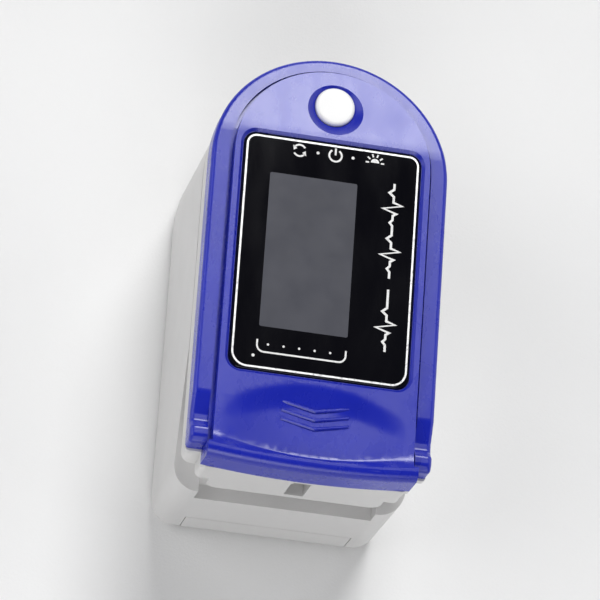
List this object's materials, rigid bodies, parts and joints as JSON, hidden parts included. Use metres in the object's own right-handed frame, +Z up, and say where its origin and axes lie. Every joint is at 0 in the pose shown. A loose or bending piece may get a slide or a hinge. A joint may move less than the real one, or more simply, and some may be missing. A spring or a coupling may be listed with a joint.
{
  "type": "fingertip pulse oximeter",
  "caption": "Clip-shaped finger sensor: arched top with a display window and push button, a sprung hinge, soft finger pads and a battery bay with a sliding door.",
  "frame": {"origin": "centre of the underside, on the surface it stands on", "axes": "+Z up through the display, +Y towards the round end where the finger goes in, +X to the right of someone looking along +Y"},
  "size_m": [0.031, 0.057, 0.032],
  "materials": {
    "blue_plastic": "satin royal blue moulded ABS",
    "grey_plastic": "fine-textured light grey ABS",
    "white_plastic": "satin white",
    "window_black": "polished acrylic, back-printed black",
    "black_tape": "double-sided foam tape",
    "black_foam": "closed-cell foam",
    "display_glass": "dark display glass",
    "flex_film": "amber polyimide",
    "black_plastic": "plain",
    "nickel_steel": "nickel plate",
    "screw_steel": "zinc-plated steel",
    "spring_steel": "drawn spring wire",
    "circuit_board": "green solder mask",
    "chip_black": "epoxy package",
    "ferrite": "sintered ferrite",
    "silicone_grey": "soft matte silicone",
    "led_resin": "clear resin on white",
    "diode_resin": "dark filter resin",
    "clear_window": "clear polycarbonate",
    "battery_label": "printed film"
  },
  "bodies": {
    "lower_jaw": {"lower_housing": "grey_plastic", "lower_tray": "grey_plastic", "lower_tray_screws": "screw_steel", "lower_pad": "silicone_grey", "sensor_window": "clear_window", "photodiode": "diode_resin", "sensor_board": "circuit_board", "battery_can": "nickel_steel", "battery_label": "battery_label", "contact_positive": "nickel_steel", "contact_negative": "nickel_steel", "battery_spring": "spring_steel", "hinge_pin": "screw_steel", "torsion_spring_right": "spring_steel", "torsion_spring_left": "spring_steel"},
    "upper_jaw": {"top_cover": "blue_plastic", "display_window": "window_black", "window_tape": "black_tape", "display_glass": "display_glass", "display_flex": "flex_film", "display_foam": "black_foam", "power_switch": "nickel_steel", "main_board": "circuit_board", "board_chips": "chip_black", "board_inductor": "ferrite", "board_crystal": "nickel_steel", "board_screws": "screw_steel", "upper_shell": "grey_plastic", "upper_shell_screws": "screw_steel", "upper_pad": "silicone_grey", "led_board": "circuit_board", "led_emitter": "led_resin", "emitter_window": "clear_window"},
    "power_button": {"power_button": "white_plastic", "switch_plunger": "black_plastic"},
    "battery_door": {"battery_door": "grey_plastic"}
  },
  "joints": [
    {"name": "jaw_hinge", "type": "hinge", "parent": "lower_jaw", "child": "upper_jaw", "pos_m": [0, -0.0105, 0.0175], "axis": [1, 0, 0], "range_deg": [0, 16], "stiffness_Nm_per_rad": 0.25, "springref_deg": -28.65, "deforming": ["torsion_spring_right", "torsion_spring_left"]},
    {"name": "button_press", "type": "slide", "parent": "upper_jaw", "child": "power_button", "axis": [0, 0, -1], "range_m": [0, 0.00035], "stiffness_N_per_m": 800, "springref_m": -0.0005},
    {"name": "door_slide", "type": "slide", "parent": "lower_jaw", "child": "battery_door", "axis": [0, -1, 0], "range_m": [0, 0.03]}
  ]
}
